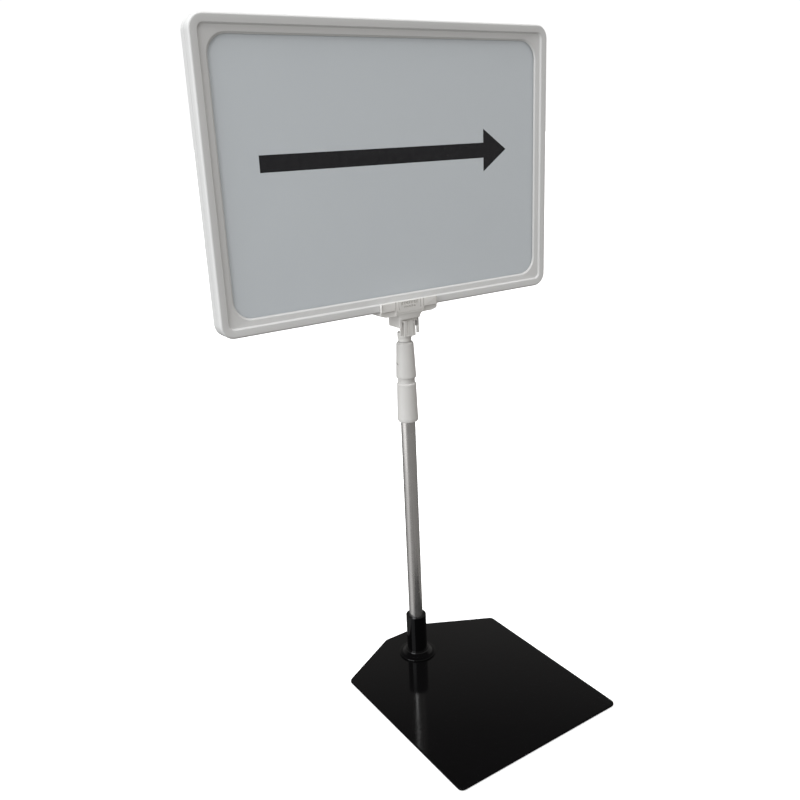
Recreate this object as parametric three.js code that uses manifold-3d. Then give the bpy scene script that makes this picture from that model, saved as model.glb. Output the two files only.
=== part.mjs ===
// Telescopic sign stand: a landscape showcard frame held by a T-shaped clip on a twist-lock
// telescopic stem, which drops into a flanged socket screwed to a flat steel base plate.
//
// Units are millimetres, +Z is up and the sign's front faces -Y. The origin is on the floor under
// the middle of the whole stand: x = 0 is the middle of the sign, y = 0 the middle of the plate.

import * as THREE from "three";
import { mergeVertices } from "three/addons/utils/BufferGeometryUtils.js";
import Module from "manifold-3d";

const wasm = await Module();
wasm.setup();

// ---------------------------------------------------------------- driving dimensions

const SEGMENTS = 40; // sides of a round part
const SMALL_SEGMENTS = 20; // sides of a small round part
const OVERCUT = 1; // how far a cutting tool runs past the face it opens
const REST_GAP = 0.1; // space kept between pieces that rest on each other

// base
const PLATE_WIDTH = 166;
const PLATE_DEPTH = 196;
const PLATE_THICKNESS = 2;
const PLATE_CENTRE_X = 15;
const PLATE_SHOULDER_Y = 65.5; // where the straight sides turn into the rear chamfers
const PLATE_REAR_HALF = 23; // half length of the rear edge
const PLATE_CORNER_RADIUS = 5;
const PAD_RADIUS = 6;
const PAD_THICKNESS = 1;
const PAD_INSET = 14;

// stem axis
const STEM_X = 5.6;
const STEM_Y = 64;

// socket, heights above the plate
const SOCKET_HEIGHT = 41;
const SOCKET_RADIUS = 9.2;
const SOCKET_BORE_RADIUS = 7;
const SOCKET_FLOOR = 8;
const SOCKET_LIP_CHAMFER = 0.6;
const FLANGE_RADIUS = 16.8;
const FLANGE_THICKNESS = 1.8;
const FLANGE_CHAMFER = 0.5;
const SKIRT_BOTTOM_RADIUS = 13.6;
const SKIRT_TOP_RADIUS = 10.4;
const SKIRT_TOP = 5;
const SKIRT_CHAMFER = 0.5;

// countersunk socket screw
const SCREW_HEAD_RADIUS = 5;
const SCREW_SHANK_RADIUS = 3;
const SCREW_LENGTH = 8.5;
const SCREW_CLEARANCE = 0.2;
const SCREW_KEY_RADIUS = 1.7;
const SCREW_KEY_DEPTH = 1.6;
const SCREW_TIP_CHAMFER = 0.5;

// tubes
const OUTER_TUBE_RADIUS = 6.2;
const OUTER_TUBE_WALL = 1;
const INNER_TUBE_RADIUS = 4.5;
const INNER_TUBE_WALL = 0.8;
const GUIDE_CLEARANCE = 0.12;
const GUIDE_COLLAR_LENGTH = 12;
const GUIDE_STUB_LENGTH = 10;
const GUIDE_BORE_RADIUS = 1.5;
const GUIDE_CHAMFER = 0.8;

// twist lock, heights above the plate
const SLEEVE_BOTTOM = 232.7;
const SLEEVE_TOP = 267.2;
const SLEEVE_BOTTOM_RADIUS = 8.9;
const SLEEVE_TOP_RADIUS = 8.1;
const SLEEVE_FOOT_ROUND = 1.4;
const SLEEVE_TOP_CHAMFER = 0.6;
const SLEEVE_TUBE_STOP = 258;
const LOCK_NECK_RADIUS = 7.3;
const NUT_BOTTOM = 271.6;
const NUT_TOP = 302.7;
const NUT_BOTTOM_RADIUS = 8.5;
const NUT_TOP_RADIUS = 7.2;
const NUT_TOP_CHAMFER = 1.6;
const NUT_FOOT_CHAMFER = 0.8;
const NUT_MOUTH_RADIUS = 4.9;
const NUT_MOUTH_RUN = 1; // height of the cone above the collet
const THREAD_RADIUS = 6.7;
const THREAD_TOP = 281;
const THREAD_CLEARANCE = 0.25;
const COLLET_BOTTOM = 281.4;
const COLLET_TOP = 294;
const COLLET_BOTTOM_RADIUS = 6.4;
const COLLET_TOP_RADIUS = 5.5;
const COLLET_SLIT = 1.2;
const TUBE_RUNNING_CLEARANCE = 0.15;

// swivel bush on the top of the inner tube, heights above the plate
const BUSH_BOTTOM = 302.9;
const BUSH_NECK_RADIUS = 5.6;
const BUSH_NECK_TOP = 306.1;
const BUSH_SLEEVE_RADIUS = 5.2;
const BUSH_SLEEVE_TOP = 309.8;
const BUSH_CAP = 0.8; // thickness of the cap that carries the pin
const BUSH_PIN_RADIUS = 2.2;
const BUSH_TOP = 319;
const BUSH_HEADROOM = 0.4;

const FRAME_BOTTOM = 331.4; // height of the showcard frame above the plate

// T-shaped clip, heights above the plate
const CLIP_BARREL_BOTTOM = BUSH_NECK_TOP + REST_GAP;
const CLIP_BARREL_TOP = 310.8;
const CLIP_COLUMN_BOTTOM = 308.2;
const CLIP_RIB_BOTTOM = 310;
const CLIP_BOX_BOTTOM = 316;
const CLIP_SHELF_BOTTOM = 323.3;
const CLIP_FLOOR_BOTTOM = 327.3;
const CLIP_HALF_LENGTH = 27.5;
const CLIP_END_TAPER = 5;
const CLIP_END_RISE = 1.2;
const CLIP_HALF_DEPTH = 9.9;
const CLIP_JAW_CLEARANCE = 0.3;
const CLIP_JAW_TOP = FRAME_BOTTOM + 7.4;
const CLIP_JAW_TIP_CHAMFER = 1;
const CLIP_BOX_HALF_WIDTH = 9.4;
const CLIP_BOX_FRONT = 8.2;
const CLIP_BOX_REAR = 9;
const CLIP_BOX_OVERLAP = 0.5; // how far the box runs up into the channel block
const CLIP_WALL = 2.2;
const CLIP_RIB_DEPTH = 1.4;
const CLIP_BOX_CEILING = CLIP_SHELF_BOTTOM - 2.4;
const CLIP_SHELF_FRONT = 9.8;
const CLIP_SHELF_HALF_WIDTH = 13.6;
const CLIP_BARREL_RADIUS = 6.1;
const CLIP_COLUMN_HALF_WIDTH = 5.4;
const CLIP_COLUMN_FRONT = 8.6;
const CLIP_COLUMN_REAR = 2.6;
const CLIP_CORE_RADIUS = 3.4;
const CLIP_BORE_RADIUS = 5.4;
const CLIP_PIN_BORE_RADIUS = 2.35;
const CLIP_FLUTE_DEPTH = 0.7;
const CLIP_FLUTE_HALF_WIDTH = 0.5;
const CLIP_FLUTE_X = [-2.4, 3.6];
const CLIP_SHOULDER_BULGE = 0.8;
const TAB_HALF_WIDTH = 10.7;
const TAB_GROOVE_WIDTH = 1;
const TAB_GROOVE_DEPTH = 1;
const TAB_NOTCH_OFFSET = 3;
const TAB_GROOVE_BOTTOM = FRAME_BOTTOM - 2;
const TAB_NOTCH_BOTTOM = CLIP_FLOOR_BOTTOM + 1;
const JAW_UNDERCUT_TOP = FRAME_BOTTOM - 1.5;

// showcard frame, insets from the outer edge
const FRAME_WIDTH = 312;
const FRAME_HEIGHT = 217;
const FRAME_THICKNESS = 14.7;
const FRAME_CORNER_RADIUS = 11;
const RIM_ROUNDS = [
  { inset: 1.6, depth: 0 },
  { inset: 0.7, depth: 0.5 },
  { inset: 0.2, depth: 1.1 },
  { inset: 0, depth: 2 },
];
const RIM_BAND = 6.9;
const RIM_BAND_CORNER_RADIUS = 5;
const RIM_STEP = 1.4;
const WINDOW_BORDER = 12;
const WINDOW_CORNER_RADIUS = 14.5;
const FACE_THICKNESS = 3.05;
const POCKET_SIDE_WALL = 7;
const POCKET_FOOT_WALL = 3;
const POCKET_TOP_WALL = 3;
const BAND_OVERLAP = 1; // how far the inner band runs in under the rim
const PARTING_GAP = 0.3;
const PIN_RADIUS = 1.6;
const PIN_LENGTH = 4.5;
const PIN_CLEARANCE = 0.2;
const PIN_END_CLEARANCE = 0.5;
const PIN_SEGMENTS = 12;
const PIN_HEIGHTS = [25, 108.5, 192];
const SLOT_SIDE_CLEARANCE = 0.8;

// sheets in the pocket
const CARD_WIDTH = 297;
const CARD_HEIGHT = 210;
const FILM_THICKNESS = 0.4;
const CARD_THICKNESS = 0.5;
const SHEET_GAP = 0.15;

const PLATE_TOP = PAD_THICKNESS + PLATE_THICKNESS;
const HALF_THICKNESS = FRAME_THICKNESS / 2;
const OUTER_TUBE_BORE = OUTER_TUBE_RADIUS - OUTER_TUBE_WALL;
const INNER_TUBE_BORE = INNER_TUBE_RADIUS - INNER_TUBE_WALL;
const OUTER_TUBE_BOTTOM = SOCKET_FLOOR + REST_GAP;
const INNER_TUBE_BOTTOM = 42;
const TUBE_BORE = INNER_TUBE_RADIUS + TUBE_RUNNING_CLEARANCE;
const KEY_SIDES = 6;

// ---------------------------------------------------------------- materials

const material = (color, roughness, metalness = 0, opacity = 1) =>
  new THREE.MeshStandardMaterial({ color, roughness, metalness, opacity, transparent: opacity < 1 });

const blackPaint = () => material(0x0b0b0c, 0.15, 0.1);
const darkRubber = () => material(0x2b2b2b, 0.85);
const zincSteel = () => material(0xa9abad, 0.35, 1);
const satinAluminium = () => material(0xb4b6b8, 0.35, 1);
const whitePlastic = () => material(0xe9e9e6, 0.42);
const naturalPlastic = () => material(0xdad8d0, 0.55);
const clearFilm = () => material(0xf4f7fa, 0.08, 0, 0.25);
const greyCard = () => material(0xb9c0c8, 0.55);
const foamBoard = () => material(0xf0efea, 0.8);

// ---------------------------------------------------------------- solids

// Turns a closed three.js geometry into a manifold solid.
function toSolid(geometry) {
  const bare = geometry.index ? geometry.toNonIndexed() : geometry.clone();
  bare.deleteAttribute("normal");
  bare.deleteAttribute("uv");
  const merged = mergeVertices(bare, 1e-4);
  const corners = merged.index.array;
  const kept = [];
  for (let i = 0; i < corners.length; i += 3) {
    const [a, b, c] = [corners[i], corners[i + 1], corners[i + 2]];
    if (a !== b && b !== c && c !== a) {
      kept.push(a, b, c);
    }
  }
  return new wasm.Manifold(
    new wasm.Mesh({
      numProp: 3,
      vertProperties: new Float32Array(merged.attributes.position.array),
      triVerts: new Uint32Array(kept),
    }),
  );
}

// Turns a manifold solid back into a named three.js mesh.
function toMesh(name, solid, look) {
  const { vertProperties, triVerts, numProp } = solid.getMesh();
  if (numProp !== 3) {
    throw new Error(`${name} carries extra vertex data`);
  }
  const geometry = new THREE.BufferGeometry();
  geometry.setAttribute("position", new THREE.BufferAttribute(new Float32Array(vertProperties), 3));
  geometry.setIndex(new THREE.BufferAttribute(new Uint32Array(triVerts), 1));
  geometry.computeVertexNormals();
  const mesh = new THREE.Mesh(geometry, look);
  mesh.name = name;
  return mesh;
}

const union = (solids) => solids.reduce((joined, next) => joined.add(next));
const cut = (solid, tools) => tools.reduce((left, tool) => left.subtract(tool), solid);

// A box between two opposite corners.
function box([x0, y0, z0], [x1, y1, z1]) {
  const geometry = new THREE.BoxGeometry(x1 - x0, y1 - y0, z1 - z0);
  geometry.translate((x0 + x1) / 2, (y0 + y1) / 2, (z0 + z1) / 2);
  return toSolid(geometry);
}

// A solid turned about the Z axis from [radius, z] points that run from bottom to top.
function turned(profile, segments = SEGMENTS) {
  const points = profile.map(([radius, z]) => new THREE.Vector2(radius, z));
  const geometry = new THREE.LatheGeometry(points, segments);
  geometry.rotateX(Math.PI / 2);
  return toSolid(geometry);
}

// A cylinder about the Z axis.
function rod(radius, bottom, top, segments = SEGMENTS) {
  return turned([[0, bottom], [radius, bottom], [radius, top], [0, top]], segments);
}

// A tube about the Z axis.
const pipe = (radius, bore, bottom, top) =>
  cut(rod(radius, bottom, top), [rod(bore, bottom - OVERCUT, top + OVERCUT)]);

// A flat outline in XY extruded upwards.
function slab(shape, bottom, top, curveSegments = 6) {
  const depth = top - bottom;
  const geometry = new THREE.ExtrudeGeometry(shape, { depth, bevelEnabled: false, curveSegments });
  geometry.translate(0, 0, bottom);
  return toSolid(geometry);
}

// A flat outline in XZ extruded along Y between two depths.
function upright(shape, front, rear, curveSegments = 6) {
  const depth = rear - front;
  const geometry = new THREE.ExtrudeGeometry(shape, { depth, bevelEnabled: false, curveSegments });
  geometry.rotateX(Math.PI / 2);
  geometry.translate(0, rear, 0);
  return toSolid(geometry);
}

// A closed outline through the given corners, each one rounded.
function roundedOutline(corners, radius) {
  const shape = new THREE.Shape();
  const vectors = corners.map(([x, y]) => new THREE.Vector2(x, y));
  vectors.forEach((corner, index) => {
    const before = vectors[(index + vectors.length - 1) % vectors.length];
    const after = vectors[(index + 1) % vectors.length];
    const toBefore = before.clone().sub(corner).normalize();
    const toAfter = after.clone().sub(corner).normalize();
    const halfAngle = Math.acos(toBefore.dot(toAfter)) / 2;
    const reach = radius / Math.tan(halfAngle);
    const start = corner.clone().addScaledVector(toBefore, reach);
    const end = corner.clone().addScaledVector(toAfter, reach);
    if (index === 0) {
      shape.moveTo(start.x, start.y);
    } else {
      shape.lineTo(start.x, start.y);
    }
    shape.quadraticCurveTo(corner.x, corner.y, end.x, end.y);
  });
  shape.closePath();
  return shape;
}

// A rounded rectangle about x = 0 that stands on y = 0, shrunk by an inset on every side.
function roundedRectangle(width, height, inset, radius) {
  const left = -width / 2 + inset;
  const right = width / 2 - inset;
  const bottom = inset;
  const top = height - inset;
  const shape = new THREE.Shape();
  shape.moveTo(left + radius, bottom);
  shape.lineTo(right - radius, bottom);
  shape.absarc(right - radius, bottom + radius, radius, -Math.PI / 2, 0);
  shape.lineTo(right, top - radius);
  shape.absarc(right - radius, top - radius, radius, 0, Math.PI / 2);
  shape.lineTo(left + radius, top);
  shape.absarc(left + radius, top - radius, radius, Math.PI / 2, Math.PI);
  shape.lineTo(left, bottom + radius);
  shape.absarc(left + radius, bottom + radius, radius, Math.PI, 1.5 * Math.PI);
  return shape;
}

// ---------------------------------------------------------------- base

function plateOutline() {
  const half = PLATE_WIDTH / 2;
  const corners = [
    [-half, -PLATE_DEPTH / 2],
    [half, -PLATE_DEPTH / 2],
    [half, PLATE_SHOULDER_Y],
    [PLATE_REAR_HALF, PLATE_DEPTH / 2],
    [-PLATE_REAR_HALF, PLATE_DEPTH / 2],
    [-half, PLATE_SHOULDER_Y],
  ];
  return roundedOutline(corners.map(([x, y]) => [x + PLATE_CENTRE_X, y]), PLATE_CORNER_RADIUS);
}

function basePlate() {
  const plate = slab(plateOutline(), PAD_THICKNESS, PLATE_TOP);
  const countersink = turned([
    [0, PAD_THICKNESS - OVERCUT],
    [SCREW_HEAD_RADIUS + SCREW_CLEARANCE, PAD_THICKNESS - OVERCUT],
    [SCREW_HEAD_RADIUS + SCREW_CLEARANCE, PAD_THICKNESS],
    [SCREW_SHANK_RADIUS + SCREW_CLEARANCE, PLATE_TOP],
    [SCREW_SHANK_RADIUS + SCREW_CLEARANCE, PLATE_TOP + OVERCUT],
    [0, PLATE_TOP + OVERCUT],
  ], SMALL_SEGMENTS);
  return toMesh("base_plate", cut(plate, [countersink.translate([STEM_X, STEM_Y, 0])]), blackPaint());
}

function basePad(name, x, y) {
  const pad = rod(PAD_RADIUS, 0, PAD_THICKNESS, SMALL_SEGMENTS);
  return toMesh(name, pad.translate([x, y, 0]), darkRubber());
}

function basePads() {
  const left = PLATE_CENTRE_X - PLATE_WIDTH / 2 + PAD_INSET;
  const right = PLATE_CENTRE_X + PLATE_WIDTH / 2 - PAD_INSET;
  const front = -PLATE_DEPTH / 2 + PAD_INSET;
  const rear = PLATE_SHOULDER_Y - PAD_INSET;
  return [
    basePad("pad_front_left", left, front),
    basePad("pad_front_right", right, front),
    basePad("pad_rear_left", left, rear),
    basePad("pad_rear_right", right, rear),
  ];
}

// ---------------------------------------------------------------- stem (z = 0 on the plate)

function stemSocket() {
  const bottom = REST_GAP;
  const body = turned([
    [0, bottom],
    [FLANGE_RADIUS - FLANGE_CHAMFER, bottom],
    [FLANGE_RADIUS, bottom + FLANGE_CHAMFER],
    [FLANGE_RADIUS, FLANGE_THICKNESS - FLANGE_CHAMFER],
    [FLANGE_RADIUS - FLANGE_CHAMFER, FLANGE_THICKNESS],
    [SKIRT_BOTTOM_RADIUS, FLANGE_THICKNESS],
    [SKIRT_TOP_RADIUS, SKIRT_TOP - SKIRT_CHAMFER],
    [SKIRT_TOP_RADIUS - SKIRT_CHAMFER, SKIRT_TOP],
    [SOCKET_RADIUS, SKIRT_TOP],
    [SOCKET_RADIUS, SOCKET_HEIGHT - SOCKET_LIP_CHAMFER],
    [SOCKET_RADIUS - SOCKET_LIP_CHAMFER, SOCKET_HEIGHT],
    [0, SOCKET_HEIGHT],
  ]);
  const bore = turned([
    [0, SOCKET_FLOOR],
    [SOCKET_BORE_RADIUS, SOCKET_FLOOR],
    [SOCKET_BORE_RADIUS, SOCKET_HEIGHT - SOCKET_LIP_CHAMFER],
    [SOCKET_BORE_RADIUS + SOCKET_LIP_CHAMFER + OVERCUT, SOCKET_HEIGHT + OVERCUT],
    [0, SOCKET_HEIGHT + OVERCUT],
  ]);
  const threadRadius = SCREW_SHANK_RADIUS + SCREW_CLEARANCE;
  const thread = rod(threadRadius, bottom - OVERCUT, SOCKET_FLOOR + OVERCUT, SMALL_SEGMENTS);
  return toMesh("stem_socket", cut(body, [bore, thread]), blackPaint());
}

function socketScrew() {
  const head = -PLATE_THICKNESS;
  const body = turned([
    [0, head],
    [SCREW_HEAD_RADIUS, head],
    [SCREW_SHANK_RADIUS, 0],
    [SCREW_SHANK_RADIUS, head + SCREW_LENGTH - SCREW_TIP_CHAMFER],
    [SCREW_SHANK_RADIUS - SCREW_TIP_CHAMFER, head + SCREW_LENGTH],
    [0, head + SCREW_LENGTH],
  ], SMALL_SEGMENTS);
  const key = rod(SCREW_KEY_RADIUS, head - OVERCUT, head + SCREW_KEY_DEPTH, KEY_SIDES);
  return toMesh("socket_screw", cut(body, [key]), zincSteel());
}

function outerTube() {
  const tube = pipe(OUTER_TUBE_RADIUS, OUTER_TUBE_BORE, OUTER_TUBE_BOTTOM, SLEEVE_TUBE_STOP - REST_GAP);
  return toMesh("outer_tube", tube, satinAluminium());
}

function clampBody() {
  const body = turned([
    [0, SLEEVE_BOTTOM],
    [SLEEVE_BOTTOM_RADIUS - SLEEVE_FOOT_ROUND, SLEEVE_BOTTOM],
    [SLEEVE_BOTTOM_RADIUS - SLEEVE_FOOT_ROUND / 4, SLEEVE_BOTTOM + SLEEVE_FOOT_ROUND / 2],
    [SLEEVE_BOTTOM_RADIUS, SLEEVE_BOTTOM + SLEEVE_FOOT_ROUND],
    [SLEEVE_TOP_RADIUS, SLEEVE_TOP - SLEEVE_TOP_CHAMFER],
    [SLEEVE_TOP_RADIUS - SLEEVE_TOP_CHAMFER, SLEEVE_TOP],
    [LOCK_NECK_RADIUS, SLEEVE_TOP],
    [LOCK_NECK_RADIUS, NUT_BOTTOM - REST_GAP],
    [THREAD_RADIUS, NUT_BOTTOM - REST_GAP],
    [THREAD_RADIUS, THREAD_TOP],
    [0, THREAD_TOP],
  ]);
  const tubeSeat = rod(OUTER_TUBE_RADIUS + REST_GAP, SLEEVE_BOTTOM - OVERCUT, SLEEVE_TUBE_STOP);
  const throughBore = rod(TUBE_BORE, SLEEVE_BOTTOM - OVERCUT, THREAD_TOP + OVERCUT);
  return toMesh("clamp_body", cut(body, [tubeSeat, throughBore]), whitePlastic());
}

function clampCollet() {
  const body = turned([
    [0, COLLET_BOTTOM],
    [COLLET_BOTTOM_RADIUS, COLLET_BOTTOM],
    [COLLET_TOP_RADIUS, COLLET_TOP],
    [0, COLLET_TOP],
  ]);
  const through = rod(TUBE_BORE, COLLET_BOTTOM - OVERCUT, COLLET_TOP + OVERCUT);
  const slit = box(
    [0, -COLLET_SLIT / 2, COLLET_BOTTOM - OVERCUT],
    [COLLET_BOTTOM_RADIUS + OVERCUT, COLLET_SLIT / 2, COLLET_TOP + OVERCUT],
  );
  return toMesh("clamp_collet", cut(body, [through, slit]), naturalPlastic());
}

function clampNut() {
  const body = turned([
    [0, NUT_BOTTOM],
    [NUT_BOTTOM_RADIUS - NUT_FOOT_CHAMFER, NUT_BOTTOM],
    [NUT_BOTTOM_RADIUS, NUT_BOTTOM + NUT_FOOT_CHAMFER],
    [NUT_TOP_RADIUS, NUT_TOP - NUT_TOP_CHAMFER],
    [NUT_TOP_RADIUS - NUT_TOP_CHAMFER / 2, NUT_TOP],
    [0, NUT_TOP],
  ]);
  const threadBore = THREAD_RADIUS + THREAD_CLEARANCE;
  const inside = turned([
    [0, NUT_BOTTOM - OVERCUT],
    [threadBore, NUT_BOTTOM - OVERCUT],
    [threadBore, THREAD_TOP],
    [COLLET_BOTTOM_RADIUS + THREAD_CLEARANCE, COLLET_BOTTOM],
    [COLLET_TOP_RADIUS + THREAD_CLEARANCE, COLLET_TOP + THREAD_CLEARANCE],
    [NUT_MOUTH_RADIUS, COLLET_TOP + NUT_MOUTH_RUN],
    [NUT_MOUTH_RADIUS, NUT_TOP + OVERCUT],
    [0, NUT_TOP + OVERCUT],
  ]);
  return toMesh("clamp_nut", cut(body, [inside]), whitePlastic());
}

function innerTube() {
  const top = BUSH_SLEEVE_TOP - BUSH_CAP - REST_GAP;
  const tube = pipe(INNER_TUBE_RADIUS, INNER_TUBE_BORE, INNER_TUBE_BOTTOM, top);
  return toMesh("inner_tube", tube, satinAluminium());
}

function guidePlug() {
  const collarTop = INNER_TUBE_BOTTOM - REST_GAP;
  const collarBottom = collarTop - GUIDE_COLLAR_LENGTH;
  const collarRadius = OUTER_TUBE_BORE - GUIDE_CLEARANCE;
  const stubTop = collarTop + GUIDE_STUB_LENGTH;
  const body = turned([
    [0, collarBottom],
    [collarRadius - GUIDE_CHAMFER, collarBottom],
    [collarRadius, collarBottom + GUIDE_CHAMFER],
    [collarRadius, collarTop],
    [INNER_TUBE_BORE - REST_GAP, collarTop],
    [INNER_TUBE_BORE - REST_GAP, stubTop],
    [0, stubTop],
  ]);
  const bore = rod(GUIDE_BORE_RADIUS, collarBottom - OVERCUT, stubTop + OVERCUT, SMALL_SEGMENTS);
  return toMesh("guide_plug", cut(body, [bore]), naturalPlastic());
}

function swivelBush() {
  const body = turned([
    [0, BUSH_BOTTOM],
    [BUSH_NECK_RADIUS, BUSH_BOTTOM],
    [BUSH_NECK_RADIUS, BUSH_NECK_TOP],
    [BUSH_SLEEVE_RADIUS, BUSH_NECK_TOP],
    [BUSH_SLEEVE_RADIUS, BUSH_SLEEVE_TOP],
    [BUSH_PIN_RADIUS, BUSH_SLEEVE_TOP],
    [BUSH_PIN_RADIUS, BUSH_TOP],
    [0, BUSH_TOP],
  ]);
  const bore = rod(INNER_TUBE_RADIUS + REST_GAP, BUSH_BOTTOM - OVERCUT, BUSH_SLEEVE_TOP - BUSH_CAP);
  return toMesh("swivel_bush", cut(body, [bore]), whitePlastic());
}

// ---------------------------------------------------------------- T-shaped clip (z = 0 on the plate)

// The channel that the frame's lower edge sits in: a floor and two upright jaws.
function clipChannel() {
  const outline = new THREE.Shape();
  outline.moveTo(-CLIP_HALF_LENGTH + CLIP_END_TAPER, CLIP_FLOOR_BOTTOM);
  outline.lineTo(CLIP_HALF_LENGTH - CLIP_END_TAPER, CLIP_FLOOR_BOTTOM);
  outline.lineTo(CLIP_HALF_LENGTH, CLIP_FLOOR_BOTTOM + CLIP_END_RISE);
  outline.lineTo(CLIP_HALF_LENGTH, CLIP_JAW_TOP - CLIP_JAW_TIP_CHAMFER);
  outline.lineTo(CLIP_HALF_LENGTH - CLIP_JAW_TIP_CHAMFER, CLIP_JAW_TOP);
  outline.lineTo(-CLIP_HALF_LENGTH + CLIP_JAW_TIP_CHAMFER, CLIP_JAW_TOP);
  outline.lineTo(-CLIP_HALF_LENGTH, CLIP_JAW_TOP - CLIP_JAW_TIP_CHAMFER);
  outline.lineTo(-CLIP_HALF_LENGTH, CLIP_FLOOR_BOTTOM + CLIP_END_RISE);
  outline.closePath();
  const block = upright(outline, -CLIP_HALF_DEPTH, CLIP_HALF_DEPTH);
  const jawInside = HALF_THICKNESS + CLIP_JAW_CLEARANCE;
  const length = CLIP_HALF_LENGTH + OVERCUT;
  const channel = box(
    [-length, -jawInside, FRAME_BOTTOM - REST_GAP],
    [length, jawInside, CLIP_JAW_TOP + OVERCUT],
  );
  return cut(block, [channel]);
}

// The grooves in the front jaw that set off the middle tab.
function clipGrooves() {
  const front = -CLIP_HALF_DEPTH - OVERCUT;
  const back = -CLIP_HALF_DEPTH + TAB_GROOVE_DEPTH;
  const tools = [];
  for (const side of [-1, 1]) {
    for (const [offset, bottom] of [[0, TAB_GROOVE_BOTTOM], [TAB_NOTCH_OFFSET, TAB_NOTCH_BOTTOM]]) {
      const middle = side * (TAB_HALF_WIDTH + offset);
      tools.push(box(
        [middle - TAB_GROOVE_WIDTH / 2, front, bottom],
        [middle + TAB_GROOVE_WIDTH / 2, back, CLIP_JAW_TOP + OVERCUT],
      ));
    }
    const outer = side * (CLIP_HALF_LENGTH + OVERCUT);
    const inner = side * (TAB_HALF_WIDTH + TAB_NOTCH_OFFSET);
    tools.push(box(
      [Math.min(outer, inner), front, CLIP_FLOOR_BOTTOM - OVERCUT],
      [Math.max(outer, inner), back, JAW_UNDERCUT_TOP],
    ));
  }
  return tools;
}

// The box under the channel, with its front shelf, side ribs and curved shoulders.
function clipBox() {
  const top = CLIP_FLOOR_BOTTOM + CLIP_BOX_OVERLAP;
  const bulgeX = CLIP_BOX_HALF_WIDTH + CLIP_SHOULDER_BULGE;
  const bulgeZ = CLIP_FLOOR_BOTTOM - CLIP_SHOULDER_BULGE;
  const shoulder = new THREE.Shape();
  shoulder.moveTo(-CLIP_BOX_HALF_WIDTH, CLIP_SHELF_BOTTOM);
  shoulder.lineTo(CLIP_BOX_HALF_WIDTH, CLIP_SHELF_BOTTOM);
  shoulder.quadraticCurveTo(bulgeX, bulgeZ, CLIP_SHELF_HALF_WIDTH, top);
  shoulder.lineTo(-CLIP_SHELF_HALF_WIDTH, top);
  shoulder.quadraticCurveTo(-bulgeX, bulgeZ, -CLIP_BOX_HALF_WIDTH, CLIP_SHELF_BOTTOM);
  const shelf = upright(shoulder, -CLIP_SHELF_FRONT, CLIP_BOX_REAR);
  const outer = box(
    [-CLIP_BOX_HALF_WIDTH, -CLIP_BOX_FRONT, CLIP_BOX_BOTTOM],
    [CLIP_BOX_HALF_WIDTH, CLIP_BOX_REAR, CLIP_SHELF_BOTTOM + CLIP_BOX_OVERLAP],
  );
  const innerHalf = CLIP_BOX_HALF_WIDTH - CLIP_WALL;
  const hollow = box(
    [-innerHalf, -CLIP_BOX_FRONT - OVERCUT, CLIP_BOX_BOTTOM - OVERCUT],
    [innerHalf, CLIP_BOX_REAR - CLIP_WALL, CLIP_BOX_CEILING],
  );
  const ribs = [-CLIP_BOX_HALF_WIDTH, innerHalf].map((left) => box(
    [left, -CLIP_BOX_FRONT, CLIP_RIB_BOTTOM],
    [left + CLIP_WALL, -CLIP_BOX_FRONT + CLIP_RIB_DEPTH, CLIP_SHELF_BOTTOM],
  ));
  return union([shelf, cut(outer, [hollow]), ...ribs]);
}

// The barrel that turns on the swivel bush, the core above it and the fluted column in front.
function clipColumn() {
  const top = CLIP_SHELF_BOTTOM + CLIP_BOX_OVERLAP;
  const barrel = rod(CLIP_BARREL_RADIUS, CLIP_BARREL_BOTTOM, CLIP_BARREL_TOP);
  const core = rod(CLIP_CORE_RADIUS, CLIP_BARREL_TOP - CLIP_BOX_OVERLAP, top);
  const flat = box(
    [-CLIP_COLUMN_HALF_WIDTH, -CLIP_COLUMN_FRONT, CLIP_COLUMN_BOTTOM],
    [CLIP_COLUMN_HALF_WIDTH, -CLIP_COLUMN_REAR, top],
  );
  const flutes = CLIP_FLUTE_X.map((x) => box(
    [x - CLIP_FLUTE_HALF_WIDTH, -CLIP_COLUMN_FRONT - OVERCUT, CLIP_COLUMN_BOTTOM - OVERCUT],
    [x + CLIP_FLUTE_HALF_WIDTH, -CLIP_COLUMN_FRONT + CLIP_FLUTE_DEPTH, CLIP_SHELF_BOTTOM - OVERCUT],
  ));
  return cut(union([barrel, core, flat]), flutes);
}

function signClip() {
  const bore = rod(CLIP_BORE_RADIUS, CLIP_BARREL_BOTTOM - OVERCUT, BUSH_SLEEVE_TOP + REST_GAP);
  const pinBore = rod(CLIP_PIN_BORE_RADIUS, CLIP_BARREL_BOTTOM, BUSH_TOP + BUSH_HEADROOM);
  const clip = cut(union([clipChannel(), clipBox(), clipColumn()]), [...clipGrooves(), bore, pinBore]);
  return toMesh("sign_clip", clip, whitePlastic());
}

// ---------------------------------------------------------------- showcard frame (y = 0 mid-thickness)

// A ring between two rounded rectangles, from one depth to another.
function ring(outerInset, outerRadius, innerInset, innerRadius, front, rear) {
  const outline = roundedRectangle(FRAME_WIDTH, FRAME_HEIGHT, outerInset, outerRadius);
  outline.holes.push(roundedRectangle(FRAME_WIDTH, FRAME_HEIGHT, innerInset, innerRadius));
  return upright(outline, front, rear);
}

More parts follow.
